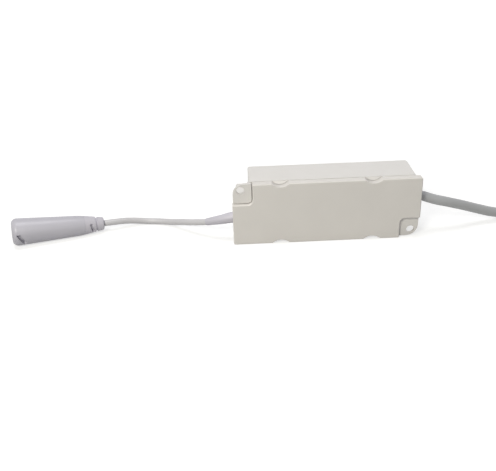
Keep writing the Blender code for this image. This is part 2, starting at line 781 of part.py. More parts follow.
def disc_part(name, x, z, radius, thickness, facing, frame, material):
    """A dipped disc standing on its edge, facing along the given board direction."""
    edge = thickness / 3
    profile = [
        (-thickness / 2, radius - 2 * edge),
        (-thickness / 2 + edge / 3, radius - edge / 2),
        (-edge / 2, radius),
        (edge / 2, radius),
        (thickness / 2 - edge / 3, radius - edge / 2),
        (thickness / 2, radius - 2 * edge),
    ]
    turn = (0, math.pi / 2, 0) if facing == "X" else (math.pi / 2, 0, 0)
    form = turned(bmesh.new(), profile, ROUND_SIDES)
    return add_part(name, form, material, (x, z, radius + GAP), frame, turn, 40)


def axial_part(name, x, z, profile, along, frame, material):
    """A turned part lying on the board along the given board direction."""
    lift = max(radius for _, radius in profile)
    turn = (0, math.pi / 2, 0) if along == "X" else (-math.pi / 2, 0, 0)
    form = turned(bmesh.new(), profile, ROUND_SIDES)
    return add_part(name, form, material, (x, z, lift + GAP), frame, turn, 40)


def build_mains_parts(frame, looks):
    """The parts on the mains side of the board."""
    cap = 0.0022
    half = 0.005
    tube = 0.0018
    end = 0.0021
    fuse = [(-half, end), (-half + cap, end), (-half + cap, tube)]
    fuse += [(-along, radius) for along, radius in reversed(fuse)]
    axial_part("fuse", 0.0385, 0.0139, fuse, "X", frame, looks["glass"])
    disc_part("varistor", 0.0325, 0.0030, 0.0046, 0.0036, "X", frame, looks["blue"])
    add_part("x_capacitor", block(bmesh.new(), 0.013, 0.0062, 0.011), looks["yellow"],
             (0.0242, 0.0123, GAP), frame)
    build_choke(frame, looks)
    add_part("bridge_rectifier", block(bmesh.new(), 0.0035, 0.0145, 0.0105, 0.0005), looks["black"],
             (0.0148, 0.0081, GAP), frame)
    electrolytic("bulk_capacitor", 0.0115, -0.0087, 0.00625, 0.018, frame, looks["sleeve"])
    add_part("film_capacitor", block(bmesh.new(), 0.0098, 0.0048, 0.009, 0.001), looks["brown"],
             (0.0066, 0.0123, GAP), frame)
    build_chip("controller_chip", 0.0055, 0.0031, 0.0049, 0.0039, 0.0015, 4, frame, looks)


CHOKE_PLACE = (0.026, -0.0083)
CHOKE_RADII = (0.0034, 0.0056)
CHOKE_HEIGHT = 0.0052
CHOKE_WIRE = 0.0011
CHOKE_TURNS = 7
CHOKE_ARC = math.radians(135)
CHOKE_EDGE = 0.0005


def build_choke(frame, looks):
    """The mains filter: a ferrite ring that lies on its two windings' lower sides."""
    inner, outer = CHOKE_RADII
    place = (*CHOKE_PLACE, GAP + CHOKE_WIRE + GAP)
    edge = CHOKE_EDGE
    top = CHOKE_HEIGHT
    outside = [(0.0, outer - edge), (edge, outer), (top - edge, outer), (top, outer - edge)]
    inside = [(0.0, inner + edge), (edge, inner), (top - edge, inner), (top, inner + edge)]
    core = add_part("choke_core", turned_tube(bmesh.new(), outside, inside, ROUND_SIDES), looks["ferrite"],
                    place, frame, smooth=40)
    for label, middle in (("upper", math.pi / 2), ("lower", -math.pi / 2)):
        winding = winding_form(bmesh.new(), middle, inner, outer)
        add_solid("choke_winding_" + label, winding, looks["copper"], parent=core, smooth=50)


def winding_form(form, middle, inner, outer):
    """A sleeve of wire turns round a sector of the choke's ring, ridged once for each turn."""
    stations = 2 * CHOKE_TURNS
    sections = []
    for station in range(stations + 1):
        turn = middle - CHOKE_ARC / 2 + CHOKE_ARC * station / stations
        wire = CHOKE_WIRE if station % 2 else CHOKE_WIRE * 0.7
        limits = [(GAP + wire, CHOKE_WIRE * 0.6), (GAP, CHOKE_EDGE / 2)]
        section = []
        for reach, corner in limits:
            low, high = -reach, CHOKE_HEIGHT + reach
            near, far = inner - reach, outer + reach
            section.append([
                (near + corner, low), (far - corner, low), (far, low + corner), (far, high - corner),
                (far - corner, high), (near + corner, high), (near, high - corner), (near, low + corner),
            ])
        sections.append([
            [(r * math.cos(turn), r * math.sin(turn), h) for r, h in loop] for loop in section])
    outer_rings = [pair[0] for pair in sections]
    inner_rings = [pair[1] for pair in sections]
    return loft(form, outer_rings + list(reversed(inner_rings)), closed=True)


def build_chip(name, x, z, size_x, size_y, height, legs_each_side, frame, looks):
    """A surface-mounted package with a row of bent legs on two sides."""
    standoff = 0.0002
    body = block(bmesh.new(), size_x, size_y, height - standoff, 0.0003, base=standoff)
    chip = add_part(name, body, looks["black"], (x, z, GAP), frame)
    legs = bmesh.new()
    pitch = 0.00127
    reach = 0.001
    for side in (-1, 1):
        for i in range(legs_each_side):
            leg_x = (i - (legs_each_side - 1) / 2) * pitch
            near = side * (size_y / 2 - reach / 4)
            far = side * (size_y / 2 + reach)
            profile = [(near, height * 0.6), (near, height * 0.4), (far - side * reach / 2, 0.0),
                       (far, 0.0), (far, standoff), (far - side * reach / 3, standoff)]
            loft(legs, [[(leg_x + w, y, h) for y, h in profile] for w in (-standoff, standoff)])
    combine(chip, legs, "UNION")


TRANSFORMER_PLACE = (-0.010, 0.0005)
CORE_LENGTH_X = 0.019
CORE_DEPTH = 0.0062
CORE_HEIGHT = 0.0165
CORE_LEG = 0.0028
CORE_MIDDLE = 0.0052
CORE_YOKE = 0.0030
BOBBIN_WALL = 0.0007
WINDING_BUILD = 0.0023


def build_transformer(frame, looks):
    """The transformer: a two-window ferrite core, a flanged bobbin and its taped winding."""
    x, z = TRANSFORMER_PLACE
    window = (CORE_LENGTH_X - CORE_MIDDLE - 2 * CORE_LEG) / 2
    core = add_part("transformer_core", block(bmesh.new(), CORE_LENGTH_X, CORE_DEPTH, CORE_HEIGHT, 0.0005),
                    looks["ferrite"], (x, z, GAP), frame)
    windows = bmesh.new()
    for side in (-1, 1):
        middle = side * (CORE_MIDDLE + window) / 2
        low = (middle - window / 2, -CORE_DEPTH, CORE_YOKE)
        high = (middle + window / 2, CORE_DEPTH, CORE_HEIGHT - CORE_YOKE)
        box(windows, low, high)
    combine(core, windows, "DIFFERENCE")

    hole_x = CORE_MIDDLE + 2 * GAP
    hole_y = CORE_DEPTH + 2 * GAP
    sleeve_x = hole_x + 2 * BOBBIN_WALL
    sleeve_y = hole_y + 2 * BOBBIN_WALL
    flange_x = sleeve_x + 2 * WINDING_BUILD
    flange_y = sleeve_y + 2 * WINDING_BUILD
    low = CORE_YOKE + GAP
    high = CORE_HEIGHT - CORE_YOKE - GAP
    hole = rectangle(hole_x, hole_y, SHARPEST)
    sleeve = rectangle(sleeve_x, sleeve_y, BOBBIN_WALL)
    flange = rectangle(flange_x, flange_y, BOBBIN_WALL)
    steps = [(hole, low), (flange, low), (flange, low + BOBBIN_WALL), (sleeve, low + BOBBIN_WALL),
             (sleeve, high - BOBBIN_WALL), (flange, high - BOBBIN_WALL), (flange, high), (hole, high)]
    bobbin = loft(bmesh.new(), [at_height(outline, height) for outline, height in steps], closed=True)
    add_solid("transformer_bobbin", bobbin, looks["black"], parent=core)

    inside = rectangle(sleeve_x + 2 * GAP, sleeve_y + 2 * GAP, BOBBIN_WALL)
    outside = rectangle(flange_x - GAP, flange_y - GAP, WINDING_BUILD)
    base = low + BOBBIN_WALL + GAP
    top = high - BOBBIN_WALL - GAP
    steps = [(inside, base), (outside, base), (outside, top), (inside, top)]
    winding = loft(bmesh.new(), [at_height(outline, height) for outline, height in steps], closed=True)
    add_solid("transformer_winding", winding, looks["tape"], parent=core, smooth=40)


def build_switch(frame, looks):
    """The switching transistor and the finned heatsink it leans on."""
    plate = 0.0012
    fins = 5
    width = 0.018
    fin_depth = 0.0016
    height = 0.0155
    pitch = width / (2 * fins - 1)
    outline = [(-width / 2, plate), (-width / 2, -fin_depth)]
    for i in range(fins - 1):
        left = -width / 2 + (2 * i + 1) * pitch
        outline += [(left, -fin_depth), (left, 0.0), (left + pitch, 0.0), (left + pitch, -fin_depth)]
    outline += [(width / 2, -fin_depth), (width / 2, plate)]
    heatsink = add_part("heatsink", loft(bmesh.new(), [at_height(outline, 0.0), at_height(outline, height)]),
                        looks["aluminium"], (-0.0095, -0.0149, GAP), frame)
    body = 0.0042
    add_solid("switching_transistor", block(bmesh.new(), 0.0100, body, 0.0150, 0.0005), looks["black"],
              (0, plate + GAP + body / 2, 0), parent=heatsink)


def build_output_parts(frame, looks):
    """The parts on the low-voltage side of the board."""
    disc_part("safety_capacitor", -0.0062, 0.0133, 0.0040, 0.0030, "Y", frame, looks["blue"])
    build_chip("optocoupler", -0.0165, 0.0133, 0.0046, 0.0042, 0.0034, 2, frame, looks)
    half = 0.0046
    stub = 0.0014
    lead = 0.0006
    diode = [(-half - stub, lead), (-half, lead), (-half, 0.0025)]
    diode += [(-along, radius) for along, radius in reversed(diode)]
    axial_part("output_diode", -0.0236, 0.0070, diode, "Y", frame, looks["black"])
    electrolytic("output_capacitor_inner", -0.0265, -0.0097, 0.005, 0.016, frame, looks["sleeve"])
    electrolytic("output_capacitor_outer", -0.0382, -0.0085, 0.005, 0.016, frame, looks["sleeve"])
    build_drum_choke(frame, looks)


def build_drum_choke(frame, looks):
    """The output filter choke: a ferrite drum with its winding between the flanges."""
    radius = 0.0044
    waist = 0.0022
    height = 0.010
    flange = 0.0014
    place = (-0.0335, 0.0050, GAP)
    drum = [(0.0, radius), (flange, radius), (flange, waist), (height - flange, waist),
            (height - flange, radius), (height, radius)]
    core = add_part("output_choke_core", turned(bmesh.new(), drum, ROUND_SIDES), looks["ferrite"],
                    place, frame, smooth=40)
    low = flange + GAP
    high = height - flange - GAP
    outer = radius - GAP
    outside = [(low, outer), (high, outer)]
    inside = [(low, waist + GAP), (high, waist + GAP)]
    add_solid("output_choke_winding", turned_tube(bmesh.new(), outside, inside, ROUND_SIDES), looks["copper"],
              parent=core, smooth=40)


MAINS_PAD_INSET = 0.0126
MAINS_PAD_RISE = (0.0075, 0.0017)
OUTPUT_PAD_INSET = 0.0075
OUTPUT_PAD_RISE = (0.0005, -0.0055)


def build_inner_wires(looks):
    """The jacket ends inside the walls, and the cores from them down to the board."""
    pad_y = BOARD_FACE_Y - GAP
    flange_face = WALL_INNER_END - GAP - FLANGE_THICKNESS - GAP
    stub_end = flange_face - MAINS_STUB
    add_cord("mains_jacket_end", [(flange_face, EXIT_Y, MAINS_EXIT_Z), (stub_end, EXIT_Y, MAINS_EXIT_Z)],
             MAINS_RADIUS, 4, looks["cord"])
    core_start = stub_end - GAP
    pad_x = BOARD_END - MAINS_PAD_INSET
    for rise, side, label in zip(MAINS_PAD_RISE, (1, -1), ("live", "neutral")):
        pad_z = CASE_HEIGHT / 2 + rise
        spread = side * (MAINS_CORE_RADIUS + GAP / 2)
        route = (
            (core_start, EXIT_Y, MAINS_EXIT_Z + spread),
            (core_start - 0.0012, EXIT_Y + 0.0001, MAINS_EXIT_Z + 1.05 * spread),
            (core_start - 0.0032, EXIT_Y + 0.0014, MAINS_EXIT_Z + 1.6 * spread),
            (pad_x - 0.0006, EXIT_Y + 0.0055, pad_z),
            (pad_x - 0.0002, pad_y - 0.0040, pad_z),
            (pad_x, pad_y, pad_z),
        )
        wire = cord_points(smooth_curve(route), 0.0, MAINS_CORE_RADIUS)
        add_cord(label + "_inner_wire", wire, MAINS_CORE_RADIUS, 2, looks[label])

    stub_end = flange_face - OUTPUT_STUB
    add_cord("output_jacket_end", [(-flange_face, EXIT_Y, OUTPUT_EXIT_Z), (-stub_end, EXIT_Y, OUTPUT_EXIT_Z)],
             OUTPUT_RADIUS, 4, looks["lead"])
    core_start = -stub_end + GAP
    pad_x = OUTPUT_PAD_INSET - BOARD_END
    for rise, side, label in zip(OUTPUT_PAD_RISE, (1, -1), ("positive", "negative")):
        pad_z = CASE_HEIGHT / 2 + rise
        spread = side * (OUTPUT_CORE_RADIUS + GAP / 2)
        route = (
            (core_start, EXIT_Y, OUTPUT_EXIT_Z + spread),
            (core_start + 0.0008, EXIT_Y + 0.0001, OUTPUT_EXIT_Z + 1.05 * spread),
            (core_start + 0.0015, EXIT_Y + 0.0014, OUTPUT_EXIT_Z + 1.5 * spread),
            (core_start + 0.0016, EXIT_Y + 0.0060, (OUTPUT_EXIT_Z + pad_z) / 2),
            (pad_x + 0.0002, pad_y - 0.0040, pad_z),
            (pad_x, pad_y, pad_z),
        )
        wire = cord_points(smooth_curve(route), 0.0, OUTPUT_CORE_RADIUS)
        add_cord(label + "_inner_wire", wire, OUTPUT_CORE_RADIUS, 2, looks[label])


TIE_WIDTH = 0.0036
TIE_BAND = 0.0012


def build_cable_tie(looks):
    """The tie drawn tight round the mains jacket, which stops it from being pulled out."""
    inner = MAINS_RADIUS + GAP
    outer = inner + TIE_BAND
    flange_face = WALL_INNER_END - GAP - FLANGE_THICKNESS - GAP
    edges = [(0.0, outer), (TIE_WIDTH, outer)]
    hole = [(0.0, inner), (TIE_WIDTH, inner)]
    tie = add_solid("cable_tie", turned_tube(bmesh.new(), edges, hole, ROUND_SIDES), looks["nylon"],
                    (flange_face - GAP, EXIT_Y, MAINS_EXIT_Z), (0, -math.pi / 2, 0), smooth=40)
    head = bmesh.new()
    inset = TIE_WIDTH * 0.08
    low = (-TIE_WIDTH / 2, inner + TIE_BAND / 3, inset)
    high = (TIE_WIDTH / 2, outer + 2 * TIE_BAND, TIE_WIDTH - inset)
    combine(tie, box(head, low, high), "UNION")


def build_leads(looks):
    """The two free leads, and the stripped cores at the mains lead's far end."""
    mains = smooth_curve(MAINS_ROUTE)
    add_cord("mains_lead", cord_points(mains, 0.0, MAINS_RADIUS), MAINS_RADIUS, 4, looks["cord"])
    output = cord_points(output_curve(), BOOT_LENGTH + GAP, OUTPUT_RADIUS)
    add_cord("output_lead", output, OUTPUT_RADIUS, 4, looks["lead"])

    end = mains[-1]
    heading = (mains[-1] - mains[-2]).normalized()
    across = Vector((-heading.y, heading.x, 0.0))
    for side, label in ((1, "live"), (-1, "neutral")):
        route = []
        for share, spread, height in CORE_SPLAY:
            place = end + (GAP + share * CORE_LENGTH) * heading + side * spread * across
            route.append(place + Vector((0.0, 0.0, height - end.z)))
        core = cord_points(smooth_curve(route), 0.0, MAINS_CORE_RADIUS)
        add_cord(label + "_core", core, MAINS_CORE_RADIUS, 2, looks[label])
        aim = (core[-1] - core[-2]).normalized()
        tip = core[-1] + GAP * aim
        add_cord(label + "_strand", [tip, tip + STRAND_LENGTH * aim], MAINS_STRAND_RADIUS, 2, looks["tin"])


def connector_point(distance):
    """A point on the connector's axis, at a distance from its mouth."""
    rest_height = CONNECTOR_RADIUS * math.cos(CONNECTOR_TILT) + CONNECTOR_WIDEST_AT * math.sin(CONNECTOR_TILT)
    along = math.cos(CONNECTOR_TILT) * distance
    x = CONNECTOR_MOUTH[0] + along * math.cos(CONNECTOR_HEADING)
    y = CONNECTOR_MOUTH[1] + along * math.sin(CONNECTOR_HEADING)
    return (x, y, rest_height - math.sin(CONNECTOR_TILT) * distance)


def connector_frame():
    """An empty at the connector's mouth: its Z axis runs along the connector to the lead."""
    frame = bpy.data.objects.new("connector_frame", None)
    frame.location = connector_point(0.0)
    frame.rotation_euler = (0, math.pi / 2 + CONNECTOR_TILT, CONNECTOR_HEADING)
    return link(frame)


def groove(form, start, end, width, low_radius, high_radius):
    """A curved slot between two (distance, elevation) places, and its twin on the far side."""
    steps = 2 * ARC_STEPS
    for facing in (0.0, math.pi):
        rings = []
        for step in range(steps + 1):
            share = step / steps
            distance = start[0] + (end[0] - start[0]) * share
            elevation = start[1] + (end[1] - start[1]) * share
            turn = math.radians(elevation) + facing
            corners = ((low_radius, -width), (high_radius, -width), (high_radius, width), (low_radius, width))
            rings.append([
                (-r * math.sin(turn), -r * math.cos(turn), distance + w / 2) for r, w in corners])
        loft(form, rings)
    return form


def build_connector(looks):
    """The tapered in-line connector: body, relief, insert, centre pin and spring contact."""
    frame = connector_frame()
    outer = []
    for step in range(ARC_STEPS + 1):
        turn = math.pi / 2 * step / ARC_STEPS
        radius = CONNECTOR_RADIUS - CONNECTOR_LIP * (1 - math.sin(turn))
        outer.append((CONNECTOR_WIDEST_AT * (1 - math.cos(turn)), radius))
    outer.append((CONNECTOR_WAIST_AT, CONNECTOR_WAIST_RADIUS))
    outer.append((CONNECTOR_BODY_END, CONNECTOR_BODY_END_RADIUS))
    bore = [
        (0.0, CONNECTOR_RADIUS - CONNECTOR_LIP - SHARPEST),
        (CONNECTOR_BORE_DEPTH, CONNECTOR_BORE_RADIUS),
        (CONNECTOR_BORE_DEPTH, CONNECTOR_CORE_RADIUS),
        (CONNECTOR_BODY_END, CONNECTOR_CORE_RADIUS),
    ]
    body = add_solid("connector_body", turned_tube(bmesh.new(), outer, bore, CONNECTOR_SIDES),
                     looks["connector"], parent=frame, smooth=40)
    floor = CONNECTOR_RADIUS - LATCH_DEPTH
    slots = groove(bmesh.new(), LATCH_START, LATCH_END, LATCH_WIDTH, floor, 2 * CONNECTOR_RADIUS)
    combine(body, slots, "DIFFERENCE")

    seat = CONNECTOR_BODY_END + GAP
    tail = CONNECTOR_LENGTH - RELIEF_EDGE
    slope = (CONNECTOR_BODY_END_RADIUS - RELIEF_TAIL_RADIUS) / (tail - seat)
    ring_start = CONNECTOR_BODY_END_RADIUS - slope * (RELIEF_RING_AT - seat)
    ring_end = ring_start - slope * RELIEF_RING_WIDTH
    spigot = CONNECTOR_CORE_RADIUS - GAP
    profile = [
        (CONNECTOR_BODY_END - RELIEF_SPIGOT, spigot),
        (seat, spigot),
        (seat, CONNECTOR_BODY_END_RADIUS),
        (RELIEF_RING_AT, ring_start),
        (RELIEF_RING_AT, ring_start - RELIEF_RING_DEPTH),
        (RELIEF_RING_AT + RELIEF_RING_WIDTH, ring_end - RELIEF_RING_DEPTH),
        (RELIEF_RING_AT + RELIEF_RING_WIDTH, ring_end),
        (tail, RELIEF_TAIL_RADIUS),
        (CONNECTOR_LENGTH, RELIEF_TAIL_RADIUS - RELIEF_EDGE),
    ]
    relief = add_solid("connector_relief", turned(bmesh.new(), profile, CONNECTOR_SIDES),
                       looks["relief"], parent=frame, smooth=40)
    slots = groove(bmesh.new(), RELIEF_SLOT_START, RELIEF_SLOT_END, RELIEF_SLOT_WIDTH,
                   RELIEF_TAIL_RADIUS - RELIEF_SLOT_DEPTH, 2 * CONNECTOR_BODY_END_RADIUS)
    combine(relief, slots, "DIFFERENCE")

    back = CONNECTOR_BORE_DEPTH - GAP
    barrel = CONNECTOR_RADIUS - CONNECTOR_LIP - SHARPEST - GAP
    pin_hole = PIN_RADIUS + GAP
    socket_end = INSERT_RECESS + SOCKET_DEPTH
    outside = [(INSERT_RECESS, barrel), (back, barrel)]
    inside = [(INSERT_RECESS, SOCKET_RADIUS), (socket_end, SOCKET_RADIUS)]
    inside += [(socket_end, pin_hole), (back, pin_hole)]
    add_solid("connector_insert", turned_tube(bmesh.new(), outside, inside, ROUND_SIDES),
              looks["insert"], parent=frame, smooth=40)
    spring = SOCKET_RADIUS - GAP
    ends = (2 * INSERT_RECESS, socket_end - GAP)
    outside = [(end, spring) for end in ends]
    inside = [(end, spring - CONTACT_THICKNESS) for end in ends]
    add_solid("connector_contact", turned_tube(bmesh.new(), outside, inside, ROUND_SIDES),
              looks["tin"], parent=frame, smooth=40)
    pin = [(2 * INSERT_RECESS, PIN_RADIUS / 2), (3 * INSERT_RECESS, PIN_RADIUS), (back - GAP, PIN_RADIUS)]
    add_solid("connector_pin", turned(bmesh.new(), pin, ROUND_SIDES), looks["tin"], parent=frame, smooth=40)


def make_looks():
    """Every material, as linear colour, roughness and metallic value."""
    values = {
        "shell": ((0.70, 0.66, 0.63), 0.5),
        "cover": ((0.55, 0.52, 0.46), 0.5),
        "cord": ((0.33, 0.33, 0.33), 0.5),
        "lead": ((0.58, 0.56, 0.57), 0.45),
        "relief": ((0.42, 0.41, 0.44), 0.5),
        "connector": ((0.42, 0.41, 0.44), 0.45),
        "insert": ((0.05, 0.05, 0.06), 0.5),
        "live": ((0.20, 0.08, 0.04), 0.45),
        "neutral": ((0.03, 0.12, 0.42), 0.45),
        "positive": ((0.50, 0.03, 0.03), 0.45),
        "negative": ((0.02, 0.02, 0.02), 0.45),
        "nylon": ((0.75, 0.75, 0.70), 0.4),
        "board": ((0.03, 0.16, 0.07), 0.45),
        "ferrite": ((0.05, 0.05, 0.055), 0.6),
        "tape": ((0.72, 0.55, 0.07), 0.4),
        "yellow": ((0.75, 0.60, 0.10), 0.45),
        "blue": ((0.04, 0.14, 0.45), 0.4),
        "brown": ((0.25, 0.07, 0.03), 0.35),
        "black": ((0.03, 0.03, 0.03), 0.5),
        "sleeve": ((0.04, 0.05, 0.08), 0.35),
        "glass": ((0.75, 0.78, 0.78), 0.1),
        "tin": ((0.78, 0.77, 0.74), 0.3, 1.0),
        "copper": ((0.80, 0.36, 0.16), 0.35, 1.0),
        "aluminium": ((0.76, 0.77, 0.78), 0.4, 1.0),
    }
    return {name: make_material(name, *value) for name, value in values.items()}


def main():
    clear_scene()
    looks = make_looks()
    build_shell(looks["shell"])
    build_cover(looks["cover"])
    build_output_boot(looks["relief"])
    build_mains_bushing(looks["relief"])
    build_cable_tie(looks)
    build_board(looks["board"])
    frame = board_frame()
    build_mains_parts(frame, looks)
    build_transformer(frame, looks)
    build_switch(frame, looks)
    build_output_parts(frame, looks)
    build_inner_wires(looks)
    build_leads(looks)
    build_connector(looks)


main()
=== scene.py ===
"""The looks of the LED driver: its finishes, its two leads at their real length, light and camera.

All sizes are in metres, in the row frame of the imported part: +X towards the mains lead, -Y the way
the cover faces, +Z up from the surface that the driver stands on.
"""

import math

import bmesh
import bpy
from mathutils import Euler, Matrix, Vector

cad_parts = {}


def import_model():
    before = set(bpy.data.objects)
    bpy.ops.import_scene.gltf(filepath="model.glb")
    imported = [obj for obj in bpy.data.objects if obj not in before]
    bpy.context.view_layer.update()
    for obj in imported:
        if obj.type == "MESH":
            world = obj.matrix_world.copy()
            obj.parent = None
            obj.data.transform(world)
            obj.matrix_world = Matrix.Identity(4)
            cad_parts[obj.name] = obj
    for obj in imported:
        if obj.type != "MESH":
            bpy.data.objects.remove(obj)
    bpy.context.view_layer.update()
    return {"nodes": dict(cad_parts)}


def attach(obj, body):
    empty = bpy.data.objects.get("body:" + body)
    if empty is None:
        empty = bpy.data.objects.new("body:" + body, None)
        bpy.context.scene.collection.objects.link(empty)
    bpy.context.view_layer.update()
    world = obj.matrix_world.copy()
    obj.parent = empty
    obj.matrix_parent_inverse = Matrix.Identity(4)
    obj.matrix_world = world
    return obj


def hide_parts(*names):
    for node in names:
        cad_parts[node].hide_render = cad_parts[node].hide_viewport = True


# Camera: where it stands, how far it leans down, turns and rolls, and its lens
EYE = (-0.0580, -0.4124, 0.2050)
PITCH = math.radians(26.66)
YAW = math.radians(-1.35)
ROLL = math.radians(-1.92)
IMAGE_WIDTH = 496
FOCAL_PIXELS = 720
SENSOR_WIDTH = 36

# Leads
GAP = 0.0003
MAINS_RADIUS = 0.0031
OUTPUT_RADIUS = 0.002
BOOT_LENGTH = 0.0186
CORE_RADIUS = 0.00115
STRAND_RADIUS = 0.00055
CORE_LENGTH = 0.028
STRAND_LENGTH = 0.008
CURVE_STEPS = 24
MAINS_SPACING = 0.002
OUTPUT_SPACING = 0.0015
CORE_SPACING = 0.001

# Connector, measured from its mouth
CONNECTOR_LENGTH = 0.057
CONNECTOR_RADIUS = 0.0086
CONNECTOR_WIDEST_AT = 0.0034
CONNECTOR_MOUTH = (-0.1961, -0.0030)
CONNECTOR_HEADING = math.radians(14.8)
CONNECTOR_WAIST_RADIUS = 0.0065
CONNECTOR_WAIST_AT = 0.0408
CONNECTOR_BODY_END = 0.0446
CONNECTOR_BODY_END_RADIUS = 0.006
CONNECTOR_LIP = 0.003
CONNECTOR_BORE_RADIUS = 0.0054
CONNECTOR_BORE_DEPTH = 0.020
CONNECTOR_CORE_RADIUS = 0.0036
CONNECTOR_TILT = math.atan2(
    CONNECTOR_RADIUS - CONNECTOR_WAIST_RADIUS, CONNECTOR_WAIST_AT - CONNECTOR_WIDEST_AT)
CONNECTOR_SIDES = 96
RIM_STEPS = 10

# The relief behind the connector's body
RELIEF_SPIGOT = 0.006
RELIEF_TAIL_RADIUS = 0.0042
RELIEF_EDGE = 0.0012
RELIEF_RING_AT = 0.0517
RELIEF_RING_WIDTH = 0.0011
RELIEF_RING_DEPTH = 0.0008

# Grooves on both sides of the connector: where each starts and ends, as (distance from the mouth,
# elevation), its width, and how far its floor is from the axis
LATCH_GROOVE = ((0.0038, 9), (0.0082, -47), 0.0025, 0.0064)
RELIEF_GROOVE = ((0.0485, 27), (0.0499, -42), 0.0016, 0.0036)
GROOVE_STEPS = 16

# How far the edges of a node are rounded
EDGES = {
    "housing_cover": 0.00035,
    "circuit_board": 0.0001,
}
EDGE_SEGMENTS = 3
SHARP_ANGLE = math.radians(38)
FLAT_ANGLE = math.radians(0.2)
SAME_POINT = 0.000001

# Stage and light
FLOOR_REACH = 4.0
FLOOR_ALBEDO = 0.55
FLOOR_GLOW_NEAR = 0.6
FLOOR_GLOW_FAR = 1.0
FLOOR_NEAR = 0.3
FLOOR_FAR = 1.2
WORLD_STRENGTH = 0.18

# The output lead's middle line, from the wall through its boot to the connector's tail
OUTPUT_ROUTE = (
    (-0.0565, -0.0069, 0.01455),
    (-0.0590, -0.0069, 0.0144),
    (-0.0640, -0.0064, 0.0132),
    (-0.0693, -0.0049, 0.0118),
    (-0.0745, -0.0025, 0.0100),
    (-0.0798, 0.0007, 0.0085),
    (-0.0850, 0.0046, 0.0069),
    (-0.0904, 0.0090, 0.0052),
    (-0.0959, 0.0132, 0.0035),
    (-0.1015, 0.0166, 0.0024),
    (-0.1070, 0.0185, 0.00205),
    (-0.1122, 0.0192, 0.00205),
    (-0.1172, 0.0189, 0.0027),
    (-0.1225, 0.0177, 0.0037),
    (-0.1275, 0.0160, 0.0046),
    (-0.1324, 0.0141, 0.0052),
)

# The mains lead from its bushing down to the surface, to where its jacket ends
MAINS_ROUTE = (
    (0.0575, -0.0069, 0.02395),
    (0.0600, -0.0069, 0.0238),
    (0.0643, -0.0069, 0.0222),
    (0.0695, -0.0067, 0.0204),
    (0.0751, -0.0062, 0.0188),
    (0.0807, -0.0051, 0.0169),
    (0.0865, -0.0036, 0.0148),
    (0.0923, -0.0020, 0.0125),
    (0.0979, -0.0006, 0.0103),
    (0.1088, 0.0014, 0.0066),
    (0.1196, 0.0039, 0.0042),
    (0.1308, 0.0075, 0.0032),
    (0.1455, 0.0117, 0.00315),
    (0.1612, 0.0134, 0.00315),
    (0.1770, 0.0116, 0.00315),
    (0.1908, 0.0075, 0.00315),
)

# The stripped cores: share of their length, spread from the lead's middle and height
CORE_SPLAY = (
    (0.0, 0.0014, 0.00315),
    (0.12, 0.0015, 0.0029),
    (0.35, 0.0022, 0.0017),
    (0.60, 0.0040, 0.0012),
    (0.80, 0.0060, 0.0012),
    (1.0, 0.0080, 0.0012),
)


def srgb(red, green, blue):
    """A colour given as it shows on a screen, from 0 to 255, as linear values."""
    def linear(value):
        share = value / 255
        return share / 12.92 if share <= 0.04045 else ((share + 0.055) / 1.055) ** 2.4
    return (linear(red), linear(green), linear(blue), 1.0)


def add_camera():
    forward = Vector((-math.sin(YAW) * math.cos(PITCH), math.cos(YAW) * math.cos(PITCH), -math.sin(PITCH)))
    level = Vector((math.cos(YAW), math.sin(YAW), 0.0))
    above = level.cross(forward)
    right = math.cos(ROLL) * level + math.sin(ROLL) * above
    up = math.cos(ROLL) * above - math.sin(ROLL) * level
    data = bpy.data.cameras.new("camera")
    data.sensor_fit = "HORIZONTAL"
    data.sensor_width = SENSOR_WIDTH
    data.lens = FOCAL_PIXELS / IMAGE_WIDTH * SENSOR_WIDTH
    data.clip_start = 0.01
    camera = bpy.data.objects.new("camera", data)
    camera.matrix_world = Matrix.Translation(EYE) @ Matrix((right, up, -forward)).transposed().to_4x4()
    bpy.context.scene.collection.objects.link(camera)
    bpy.context.scene.camera = camera


def connector_point(distance):
    """A point on the connector's axis, at a distance from its mouth."""
    rest_height = CONNECTOR_RADIUS * math.cos(CONNECTOR_TILT) + CONNECTOR_WIDEST_AT * math.sin(CONNECTOR_TILT)
    along = math.cos(CONNECTOR_TILT) * distance
    x = CONNECTOR_MOUTH[0] + along * math.cos(CONNECTOR_HEADING)
    y = CONNECTOR_MOUTH[1] + along * math.sin(CONNECTOR_HEADING)
    return (x, y, rest_height - math.sin(CONNECTOR_TILT) * distance)


def loft(form, rings, closed=False):
    """Skins rings that have equal numbers of points, and caps both ends unless it closes."""
    rows = [[form.verts.new(point) for point in ring] for ring in rings]
    spans = list(zip(rows, rows[1:]))
    if closed:
        spans.append((rows[-1], rows[0]))
    for near, far in spans:
        for i in range(len(near)):
            j = (i + 1) % len(near)
            form.faces.new((near[i], near[j], far[j], far[i]))
    if not closed:
        form.faces.new(rows[0])
        form.faces.new(reversed(rows[-1]))
    bmesh.ops.recalc_face_normals(form, faces=form.faces)
    return form


def add_form(name, form, material):
    """Turns a bmesh into an object."""
    mesh = bpy.data.meshes.new(name)
    form.to_mesh(mesh)
    form.free()
    mesh.materials.append(material)
    thing = bpy.data.objects.new(name, mesh)
    bpy.context.scene.collection.objects.link(thing)
    return thing


def carve(target, cutter):
    """Cuts one object out of another for good, and removes the cutter."""
    modifier = target.modifiers.new("Cut", "BOOLEAN")
    modifier.operation = "DIFFERENCE"
    modifier.solver = "EXACT"
    modifier.object = cutter
    bpy.context.view_layer.update()
    seen = target.evaluated_get(bpy.context.evaluated_depsgraph_get())
    mesh = bpy.data.meshes.new_from_object(seen)
    target.modifiers.clear()
    target.data = mesh
    bpy.data.objects.remove(cutter, do_unlink=True)


